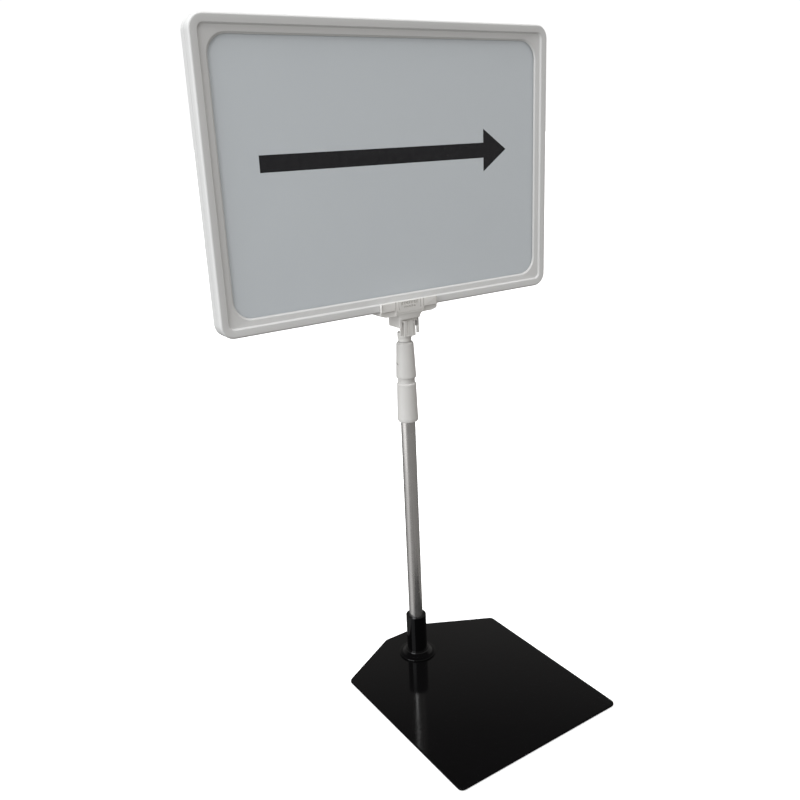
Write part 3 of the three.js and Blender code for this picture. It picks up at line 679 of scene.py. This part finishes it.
def make_guide_plug():
    radius, bottom, top = radius_of("guide_plug")
    inner_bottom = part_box("inner_tube")[0].z / MM
    bore = radius_of("inner_tube")[0] - INNER_WALL
    plug = revolve("tube_guide", stem_axis, [
        (PLUG_BORE, bottom, 0.2),
        (radius - 0.9, bottom, 0.3),
        (radius, bottom + 1.0, 0.3),
        (radius, bottom + 4.0, 0.1),
        (radius - 0.5, bottom + 4.4, 0.1),
        (radius - 0.5, bottom + 7.4, 0.1),
        (radius, bottom + 7.8, 0.1),
        (radius, inner_bottom - GAP, 0.1),
        (bore - GAP, inner_bottom - GAP, 0),
        (bore - 0.15, top, 0.5),
        (PLUG_BORE, top, 0.2),
    ], SMALL_STEPS)
    finish_mesh(plug)
    add(plug, "inner_stem", "natural_plastic", acetal, "guide_plug")


def make_bush():
    radius, bottom, top = radius_of("swivel_bush")
    inner_radius, _, inner_top = radius_of("inner_tube")
    clip_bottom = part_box("sign_clip")[0].z / MM
    cap_top = inner_top + BUSH_CAP
    bush = revolve("turning_bush", stem_axis, [
        (inner_radius + GAP, bottom, 0.1),
        (radius - 0.1, bottom, 0.25),
        (radius, clip_bottom - GAP, 0.2),
        (BUSH_SLEEVE, clip_bottom - GAP, 0.05),
        (BUSH_SLEEVE - 0.05, cap_top, 0.3),
        (PIN_RADIUS + 0.05, cap_top, 0.1),
        (PIN_RADIUS, top, 0.4),
        (0, top, 0),
        (0, inner_top + GAP, 0),
        (inner_radius + GAP, inner_top + GAP, 0),
    ])
    finish_mesh(bush)
    add(bush, "inner_stem", "white_plastic", clip_white, "swivel_bush")


# ---------------------------------------------------------------- T-shaped clip

frame_low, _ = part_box("frame_front")
_, frame_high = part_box("frame_rear")
clip_low, clip_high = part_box("sign_clip")
FRAME_FOOT = frame_low.z / MM
CLIP_TOP = clip_high.z / MM
CLIP_HALF = (clip_high.x - clip_low.x) / 2 / MM
CLIP_FRONT = (clip_high.y - clip_low.y) / 2 / MM
CLIP_FLOOR = FRAME_FOOT - 4.1
SHELF_BOTTOM = FRAME_FOOT - 8.1
BOX_BOTTOM = FRAME_FOOT - 15.4
RIB_BOTTOM = FRAME_FOOT - 21.4
COLUMN_BOTTOM = FRAME_FOOT - 23.2
BARREL_TOP = FRAME_FOOT - 20.6
BOX_HALF = 9.4
BOX_FRONT = 8.2
BOX_REAR = 9.0
BOX_WALL = 2.2
BOX_ROOF = 2.4
RIB_DEPTH = 1.4
SHELF_FRONT = 9.8
SHELF_HALF = 13.6
SHOULDER_STEPS = 8
COLUMN_HALF = 5.6
COLUMN_FRONT = 8.6
COLUMN_REAR = 2.6
JAW_ROOM = 0.3
JAW_INSIDE = (frame_high.y - frame_low.y) / 2 / MM + JAW_ROOM
JAW_LEDGE = FRAME_FOOT + 0.5
TAB_HALF = 10.7
TAB_FOOT = FRAME_FOOT - 1.9
TAB_CORNER = 2.0
NOTCH_X = 13.7
BARREL_RADIUS = 6.1
BARREL_BORE = 5.4
CORE_RADIUS = 3.4
PIN_BORE = 2.35
SLEEVE_ROOM = 1.1
PIN_ROOM = 0.4
FLUTES = [(-2.4, 0.9, 0.8), (-0.4, 0.5, 0.3), (3.5, 0.6, 0.5)]  # place, width and depth
UNDERCUT_LEFT = -6.6
UNDERCUT_REAR = -7.0
RECESS_ROWS = [(-3, 3, 4.1, 2.7), (-2, 2, 1.7, 1.4)]  # first and last, place above the foot, height
RECESS_PITCH = 2.4
RECESS_HALF = 0.8
RECESS_SHIFT = -0.3


def here(x, y, z):
    """A point given from the stem axis in millimetres, with the height from the floor."""
    return (stem_axis.x + x * MM, stem_axis.y + y * MM, z * MM)


def stem_block(x0, x1, y0, y1, z0, z1, bevel=0.35, steps=2):
    """A bevelled box placed from the stem axis, in millimetres."""
    return block("part", here(x0, y0, z0), here(x1, y1, z1), bevel * MM, steps)


def stem_prism(outline, y0, y1, bevel=0.35):
    """A front-view outline carried from y0 to y1, placed from the stem axis, in millimetres."""
    points = [(stem_axis.x + x * MM, z * MM) for x, z in outline]
    return prism("part", points, stem_axis.y + y0 * MM, stem_axis.y + y1 * MM, bevel * MM)


def cylinder(name, radius, bottom, top, steps):
    """A plain round solid on the stem axis, in millimetres."""
    outline = [(0, bottom, 0), (radius, bottom, 0), (radius, top, 0), (0, top, 0)]
    return revolve(name, stem_axis, outline, steps)


def clip_outline():
    """The front view of the clip's jaws."""
    return [
        (-CLIP_HALF + 5, CLIP_FLOOR),
        (CLIP_HALF - 5, CLIP_FLOOR),
        (CLIP_HALF - 0.6, CLIP_FLOOR + 1.2),
        (CLIP_HALF, CLIP_FLOOR + 2.6),
        (CLIP_HALF, CLIP_TOP - 1.2),
        (CLIP_HALF - 1.0, CLIP_TOP),
        (-CLIP_HALF + 1.0, CLIP_TOP),
        (-CLIP_HALF, CLIP_TOP - 1.2),
        (-CLIP_HALF, CLIP_FLOOR + 2.6),
        (-CLIP_HALF + 0.6, CLIP_FLOOR + 1.2),
    ]


def shoulder_outline():
    """The front view of the flared shelf between the box and the jaws."""
    top = CLIP_FLOOR + 1.2
    right = []
    for step in range(SHOULDER_STEPS + 1):
        t = step / SHOULDER_STEPS
        x = BOX_HALF * (1 - t) ** 2 + (BOX_HALF + 0.8) * 2 * t * (1 - t) + SHELF_HALF * t * t
        z = SHELF_BOTTOM * (1 - t) ** 2 + (CLIP_FLOOR - 0.8) * 2 * t * (1 - t) + top * t * t
        right.append((x, z))
    left = [(-x, z) for x, z in reversed(right)]
    return right + left


def slanted_cut(x0, z0, x1, z1, width, front, rear):
    """A straight groove tool between two points of the clip's front face."""
    along = Vector((x1 - x0, z1 - z0))
    across = Vector((-along.y, along.x)).normalized() * width / 2
    ends = [Vector((x0, z0)), Vector((x1, z1))]
    outline = [ends[0] + across, ends[0] - across, ends[1] - across, ends[1] + across]
    return stem_prism([(point.x, point.y) for point in outline], front, rear, 0)


def clip_solids():
    """The flared shelf, the hollow box under it and the two ribs in front."""
    top = CLIP_FLOOR + 1
    box_part = stem_block(-BOX_HALF, BOX_HALF, -BOX_FRONT, BOX_REAR, BOX_BOTTOM, top, 0.6, 3)
    inside = BOX_HALF - BOX_WALL
    hollow = stem_block(
        -inside, inside, -BOX_FRONT - OVERCUT, BOX_REAR - BOX_WALL,
        BOX_BOTTOM - OVERCUT, SHELF_BOTTOM - BOX_ROOF, 0.2,
    )
    combine(box_part, [hollow], "DIFFERENCE")
    parts = [stem_prism(shoulder_outline(), -SHELF_FRONT, BOX_REAR, 0.3), box_part]
    for left in (-BOX_HALF, inside):
        parts.append(stem_block(
            left, left + BOX_WALL, -BOX_FRONT, -BOX_FRONT + RIB_DEPTH, RIB_BOTTOM, top, 0.35, 3,
        ))
    return parts


def column_solids():
    """The barrel that turns on the bush, the core above it and the fluted column in front."""
    bottom = clip_low.z / MM
    top = CLIP_FLOOR + 1
    barrel = revolve("barrel", stem_axis, [
        (0, bottom, 0),
        (BARREL_RADIUS - 0.15, bottom, 0.35),
        (BARREL_RADIUS, bottom + 0.5, 0.2),
        (BARREL_RADIUS, BARREL_TOP, 0.7),
        (0, BARREL_TOP, 0),
    ], BARREL_STEPS)
    core = cylinder("core", CORE_RADIUS, BARREL_TOP - 0.5, top, SMALL_STEPS)
    column = stem_block(
        -COLUMN_HALF, COLUMN_HALF, -COLUMN_FRONT, -COLUMN_REAR, COLUMN_BOTTOM, top, 0.35, 3,
    )
    return [barrel, core, column]


def column_cuts():
    """The two bores, the flutes of the column and the undercut slot below the shelf."""
    bottom = clip_low.z / MM
    sleeve_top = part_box("inner_tube")[1].z / MM + SLEEVE_ROOM
    pin_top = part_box("swivel_bush")[1].z / MM + PIN_ROOM
    cuts = [
        cylinder("bore", BARREL_BORE, bottom - OVERCUT, sleeve_top, BARREL_STEPS),
        cylinder("pin_bore", PIN_BORE, bottom - OVERCUT, pin_top, PIN_STEPS),
    ]
    front = -COLUMN_FRONT
    for x, width, depth in FLUTES:
        cuts.append(stem_block(
            x - width / 2, x + width / 2, front - OVERCUT, front + depth,
            COLUMN_BOTTOM + 0.8, SHELF_BOTTOM - 0.3, 0.15,
        ))
    cuts.append(stem_block(
        UNDERCUT_LEFT, COLUMN_HALF + 0.4, -SHELF_FRONT - OVERCUT, UNDERCUT_REAR,
        SHELF_BOTTOM - 1.3, SHELF_BOTTOM - 0.15, 0.1,
    ))
    return cuts


def jaw_cuts():
    """The channel for the frame, then the grooves and the plain recesses of the front face."""
    face = -CLIP_FRONT
    front = face - OVERCUT
    above = CLIP_TOP + OVERCUT
    wide = CLIP_HALF + OVERCUT
    cuts = [stem_block(-wide, wide, -JAW_INSIDE, JAW_INSIDE, FRAME_FOOT - GAP, above, 0)]

    def groove(x0, x1, z0, z1, depth, bevel, steps=2):
        cuts.append(stem_block(x0, x1, front, face + depth, z0, z1, bevel, steps))

    for side in (-1, 1):
        notch = side * NOTCH_X
        tab = side * TAB_HALF
        end = side * (CLIP_HALF - 0.9)
        outer = side * wide
        slope = TAB_CORNER + 0.3
        groove(notch - 0.4, notch + 0.4, TAB_FOOT + TAB_CORNER, above, 1, 0.15)
        groove(tab - 0.35, tab + 0.35, FRAME_FOOT, above, 0.9, 0.15)
        groove(end - 0.25, end + 0.25, CLIP_FLOOR, CLIP_TOP - 0.6, 0.5, 0.1)
        groove(min(notch, outer), max(notch, outer), CLIP_FLOOR - OVERCUT, JAW_LEDGE, 0.9, 0.15)
        groove(min(notch, end), max(notch, end), JAW_LEDGE - 0.45, JAW_LEDGE, 1.5, 0.1)
        cuts.append(slanted_cut(
            notch, TAB_FOOT + slope, notch - side * slope, TAB_FOOT, 0.6, front, face + 0.55,
        ))
    groove(-NOTCH_X + TAB_CORNER, NOTCH_X - TAB_CORNER, TAB_FOOT - 0.25, TAB_FOOT + 0.25, 0.45, 0.1)
    for first, last, height, tall in RECESS_ROWS:
        foot = FRAME_FOOT + height
        for step in range(first, last + 1):
            x = step * RECESS_PITCH + RECESS_SHIFT
            groove(x - RECESS_HALF, x + RECESS_HALF, foot, foot + tall, 1, 0.1, 1)
    return cuts


def make_clip():
    clip = stem_prism(clip_outline(), -CLIP_FRONT, CLIP_FRONT, 0.45)
    clip.name = "tee_clip"
    combine(clip, clip_solids() + column_solids(), "UNION")
    combine(clip, jaw_cuts() + column_cuts(), "DIFFERENCE")
    finish_mesh(clip, False)
    add(clip, "sign_head", "white_plastic", clip_white, "sign_clip")


# ---------------------------------------------------------------- showcard frame

FRAME_CORNER = 11.0
FACE_THICKNESS = 3.05
SEAM_HALF = 0.15
EDGE_ROUND = 1.7
EDGE_DEPTH = 2.2
EDGE_STEPS = 6
POCKET_SIDE = 7.0
POCKET_FOOT = 3.0
SLOT_HALF = 149.3


def shell_profile():
    """(inset at the sides, inset at the foot and top, corner radius, depth from the front face)."""
    half = (frame_high.y - frame_low.y) / 2 / MM
    seam = half - SEAM_HALF
    rows = [
        (0.35, 0.35, FRAME_CORNER - 0.35, seam),
        (0.12, 0.12, FRAME_CORNER - 0.12, seam - 0.12),
        (0.0, 0.0, FRAME_CORNER, seam - 0.4),
        (0.0, 0.0, FRAME_CORNER, EDGE_DEPTH),
    ]
    for step in range(1, EDGE_STEPS + 1):
        turn = step / EDGE_STEPS * math.pi / 2
        inset = EDGE_ROUND * (1 - math.cos(turn))
        rows.append((inset, inset, FRAME_CORNER - inset, EDGE_DEPTH - EDGE_DEPTH * math.sin(turn)))
    for inset, radius, depth in (
        (3.8, 7.4, 0.1),
        (6.0, 5.2, 0.27),
        (6.25, 5.0, 0.34),
        (6.45, 4.8, 0.5),
        (7.2, 4.2, 1.32),
        (7.4, 4.1, 1.47),
        (7.7, 4.2, 1.52),
        (9.4, 9.0, 1.73),
        (11.2, 14.9, 1.96),
        (11.45, 14.8, 2.02),
        (11.62, 14.7, 2.14),
        (12.3, 14.4, 2.8),
        (12.45, 14.3, 2.95),
        (12.7, 14.2, FACE_THICKNESS),
    ):
        rows.append((inset, inset, radius, depth))
    rows.append((POCKET_SIDE, POCKET_FOOT, 0.6, FACE_THICKNESS))
    rows.append((POCKET_SIDE, POCKET_FOOT, 0.6, seam))
    return rows


def make_shell(name, node, turn):
    low, high = frame_low / MM, frame_high / MM
    loops = []
    for side, foot, radius, depth in shell_profile():
        outline = rounded_rectangle(low.x + side, high.x - side, low.z + foot, high.z - foot, radius)
        loops.append([Vector((x * MM, frame_low.y + depth * MM, z * MM)) for x, z in outline])
    shell = loft(name, loops, closed=True)
    slot = block(
        "slot",
        (-SLOT_HALF * MM, frame_low.y + FACE_THICKNESS * MM, frame_high.z - 0.01),
        (SLOT_HALF * MM, frame_high.y, frame_high.z + 0.002),
    )
    combine(shell, [slot], "DIFFERENCE")
    if turn:
        centre = Vector(((frame_low.x + frame_high.x) / 2, (frame_low.y + frame_high.y) / 2, 0))
        shell.data.transform(
            Matrix.Translation(centre) @ Matrix.Rotation(math.pi, 4, "Z") @ Matrix.Translation(-centre)
        )
    finish_mesh(shell)
    add(shell, "sign_head", "white_plastic", frame_white, node)


ARROW_LENGTH = 226.0
ARROW_SHAFT = 12.0
ARROW_HEAD = 34.0
ARROW_REACH = 24.0
ARROW_RAISE = 12.0


def arrow_points(centre_x, centre_z, direction):
    """A plain pointing arrow, in millimetres."""
    tail = -ARROW_LENGTH / 2
    tip = ARROW_LENGTH / 2
    neck = tip - ARROW_REACH
    shaft = ARROW_SHAFT / 2
    head = ARROW_HEAD / 2
    outline = [
        (tail, -shaft), (neck, -shaft), (neck, -head), (tip, 0),
        (neck, head), (neck, shaft), (tail, shaft),
    ]
    return [(centre_x + direction * x, centre_z + z) for x, z in outline]


def make_card(name, node, body, facing):
    """A card whose outer face carries the printed arrow as its own faces."""
    low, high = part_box(node)
    printed = low.y if facing < 0 else high.y
    plain = high.y if facing < 0 else low.y
    centre_x = (low.x + high.x) / 2 / MM
    centre_z = (low.z + high.z) / 2 / MM + ARROW_RAISE
    corners = [(low.x, low.z), (high.x, low.z), (high.x, high.z), (low.x, high.z)]
    arrow = [(x * MM, z * MM) for x, z in arrow_points(centre_x, centre_z, 1 if facing < 0 else -1)]
    verts = [Vector((x, printed, z)) for x, z in corners + arrow]
    verts += [Vector((x, plain, z)) for x, z in corners]
    faces = []
    indices = []
    rim = [Vector((x, z, 0)) for x, z in corners]
    hole = [Vector((x, z, 0)) for x, z in arrow]
    for triangle in tessellate_polygon([rim, hole]):
        faces.append(list(triangle))
        indices.append(0)
    for triangle in tessellate_polygon([hole]):
        faces.append([4 + index for index in triangle])
        indices.append(1)
    back = 4 + len(arrow)
    faces.append([back + 3, back + 2, back + 1, back])
    indices.append(0)
    for i in range(4):
        j = (i + 1) % 4
        faces.append([i, j, back + j, back + i])
        indices.append(0)
    card = make_object(name, verts, faces, indices)
    card.data.polygons.foreach_set("use_smooth", [False] * len(card.data.polygons))
    add(card, body, "grey_card", [card_grey, card_ink], node)


def make_sheet(name, node, slot, material, bevel):
    low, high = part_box(node)
    sheet = block(name, low, high, bevel * MM, 2)
    finish_mesh(sheet)
    add(sheet, "sign_head", slot, material, node)


make_plate()
make_pads()
make_socket()
make_screw()
make_tube("lower_tube", "outer_tube", TUBE_WALL, "stem", tube_metal)
make_tube("upper_tube", "inner_tube", INNER_WALL, "inner_stem", inner_metal)
make_clamp_sleeve()
make_collet()
make_nut()
make_guide_plug()
make_bush()
make_clip()
make_shell("front_shell", "frame_front", False)
make_shell("rear_shell", "frame_rear", True)
make_card("front_print", "showcard_front", "front_card", -1)
make_card("rear_print", "showcard_rear", "rear_card", 1)
make_sheet("film_sheet_front", "clear_film_front", "clear_film", film_clear, 0.1)
make_sheet("film_sheet_rear", "clear_film_rear", "clear_film", film_clear, 0.1)
make_sheet("backing_board", "spacer_board", "foam_board", foam, 0.3)


# ---------------------------------------------------------------- camera

CAMERA_AT = Vector((-366.4, -496.75, 473.16)) * MM
CAMERA_YAW = math.radians(33.035)
CAMERA_DOWN = math.radians(18.03)
CAMERA_ROLL = math.radians(-2.527)
CAMERA_LENS = 37.268


def make_camera():
    data = bpy.data.cameras.new("camera")
    data.sensor_width = 36
    data.lens = CAMERA_LENS
    data.clip_start = 0.01
    data.clip_end = 100
    camera = bpy.data.objects.new("camera", data)
    bpy.context.scene.collection.objects.link(camera)
    forward = Vector((
        math.sin(CAMERA_YAW) * math.cos(CAMERA_DOWN),
        math.cos(CAMERA_YAW) * math.cos(CAMERA_DOWN),
        -math.sin(CAMERA_DOWN),
    ))
    right = Vector((math.cos(CAMERA_YAW), -math.sin(CAMERA_YAW), 0))
    up = right.cross(forward)
    rolled_right = right * math.cos(CAMERA_ROLL) + up * math.sin(CAMERA_ROLL)
    rolled_up = up * math.cos(CAMERA_ROLL) - right * math.sin(CAMERA_ROLL)
    turn = Matrix((rolled_right, rolled_up, -forward)).transposed().to_4x4()
    camera.matrix_world = Matrix.Translation(CAMERA_AT) @ turn
    bpy.context.scene.camera = camera


make_camera()


# ---------------------------------------------------------------- studio

FLOOR_HALF = 40
FLOOR_GLOW = 0.5
BACKDROP_WHITE = 1.05
# how bright the room is at each height, from straight down (-1) through level (0) to straight up (1)
ROOM_STOPS = [
    (-1, 0.18), (-0.3, 0.24), (-0.04, 0.34), (0.06, 0.52), (0.42, 0.45),
    (0.545, 0.33), (0.6, 0.19), (0.64, 0.09), (0.7, 0.03), (1, 0.03),
]
ROOM_TINT = (1, 0.975, 0.94)
# the glow of the table below the horizon, on the left
TABLE_GLOW = 0.6
GLOW_TOWARDS = (-0.95, 0.3, 0)
GLOW_SPREAD = (0.6, 0.9)
HORIZON = (0.08, -0.06)
# the room gets dimmer from the front to the rear
REAR_SPREAD = (-0.2, 0.6)
REAR_DIMMED = 0.58


def make_floor():
    """A white floor whose own glow fills its shadows; reflections and bounced light don't see it."""
    build = bmesh.new()
    bmesh.ops.create_grid(build, x_segments=4, y_segments=4, size=FLOOR_HALF)
    floor = link_mesh("floor", build)
    look = Look("floor_white", (0.86, 0.86, 0.86), 0.9, Specular_IOR_Level=0.0)
    look.colour(look.mix(look.ramp(look.noise(3, 2), 0, 1), (0.865, 0.865, 0.865), (0.855, 0.855, 0.855)))
    look.set("Emission Color", (1, 1, 1, 1))
    look.set("Emission Strength", FLOOR_GLOW)
    look.material.cycles.emission_sampling = "NONE"
    floor.data.materials.append(look.material)
    floor.visible_glossy = False
    floor.visible_diffuse = False


def make_light(name, kind, at, target, power, colour, size, glossy=True, diffuse=True):
    """An area light of a given size, or a sun whose size is its angle, aimed at a point."""
    data = bpy.data.lights.new(name, kind)
    if kind == "AREA":
        data.shape = "RECTANGLE"
        data.size, data.size_y = size
    else:
        data.angle = size[0]
    data.energy = power
    data.color = colour
    light = bpy.data.objects.new(name, data)
    bpy.context.scene.collection.objects.link(light)
    light.location = at
    aim = Vector(target) - Vector(at)
    light.rotation_euler = aim.to_track_quat("-Z", "Y").to_euler()
    light.visible_glossy = glossy
    light.visible_diffuse = diffuse
    light.visible_camera = False


def make_world():
    """White to the camera; for light and reflections a dim warm room over a table lit on the left."""
    world = bpy.data.worlds.new("studio")
    bpy.context.scene.world = world
    world.use_nodes = True
    nodes, links = world.node_tree.nodes, world.node_tree.links
    nodes.clear()
    coords = nodes.new("ShaderNodeTexCoord")
    parts = nodes.new("ShaderNodeSeparateXYZ")
    links.new(coords.outputs["Generated"], parts.inputs[0])
    height = nodes.new("ShaderNodeMath")
    height.operation = "MULTIPLY_ADD"
    height.inputs[1].default_value = 0.5
    height.inputs[2].default_value = 0.5
    links.new(parts.outputs["Z"], height.inputs[0])
    ramp = nodes.new("ShaderNodeValToRGB")
    links.new(height.outputs[0], ramp.inputs[0])
    elements = ramp.color_ramp.elements
    while len(elements) < len(ROOM_STOPS):
        elements.new(0.5)
    for element, (place, value) in zip(elements, ROOM_STOPS):
        element.position = (place + 1) / 2
        element.color = (*(value * tint for tint in ROOM_TINT), 1)
    below = map_range(nodes, links, parts.outputs["Z"], *HORIZON)
    towards = nodes.new("ShaderNodeVectorMath")
    towards.operation = "DOT_PRODUCT"
    towards.inputs[1].default_value = GLOW_TOWARDS
    links.new(coords.outputs["Generated"], towards.inputs[0])
    leftward = map_range(nodes, links, towards.outputs["Value"], *GLOW_SPREAD, 0.0, TABLE_GLOW)
    glow = nodes.new("ShaderNodeMath")
    glow.operation = "MULTIPLY"
    links.new(below, glow.inputs[0])
    links.new(leftward, glow.inputs[1])
    room = nodes.new("ShaderNodeMix")
    room.data_type = "RGBA"
    room.blend_type = "ADD"
    room.inputs[0].default_value = 1
    links.new(ramp.outputs["Color"], room.inputs[6])
    links.new(glow.outputs[0], room.inputs[7])
    rearward = map_range(nodes, links, parts.outputs["Y"], *REAR_SPREAD, 1.0, REAR_DIMMED)
    dim = nodes.new("ShaderNodeBackground")
    links.new(room.outputs[2], dim.inputs["Color"])
    links.new(rearward, dim.inputs["Strength"])
    white = nodes.new("ShaderNodeBackground")
    white.inputs["Color"].default_value = (1, 1, 1, 1)
    white.inputs["Strength"].default_value = BACKDROP_WHITE
    path = nodes.new("ShaderNodeLightPath")
    choose = nodes.new("ShaderNodeMixShader")
    links.new(path.outputs["Is Camera Ray"], choose.inputs[0])
    links.new(dim.outputs[0], choose.inputs[1])
    links.new(white.outputs[0], choose.inputs[2])
    output = nodes.new("ShaderNodeOutputWorld")
    links.new(choose.outputs[0], output.inputs["Surface"])


make_floor()
make_world()
make_light(
    "overhead", "SUN", at=(-0.15, 0, 3), target=(0, 0, 0), power=3.5, colour=(1, 1, 1),
    size=(math.radians(60), 0), glossy=False,
)
make_light(
    "window", "AREA", at=(-2.32, -0.52, 1.07), target=(0, 0.05, 0.35), power=34.5,
    colour=(0.95, 0.98, 1.0), size=(1.75, 1.45),
)
make_light(
    "lit_table", "AREA", at=(-0.88, 0.34, 0.01), target=(-0.88, 0.34, 1), power=1.2,
    colour=(1, 0.99, 0.98), size=(0.85, 0.8), diffuse=False,
)
bpy.context.scene.view_settings.view_transform = "Standard"
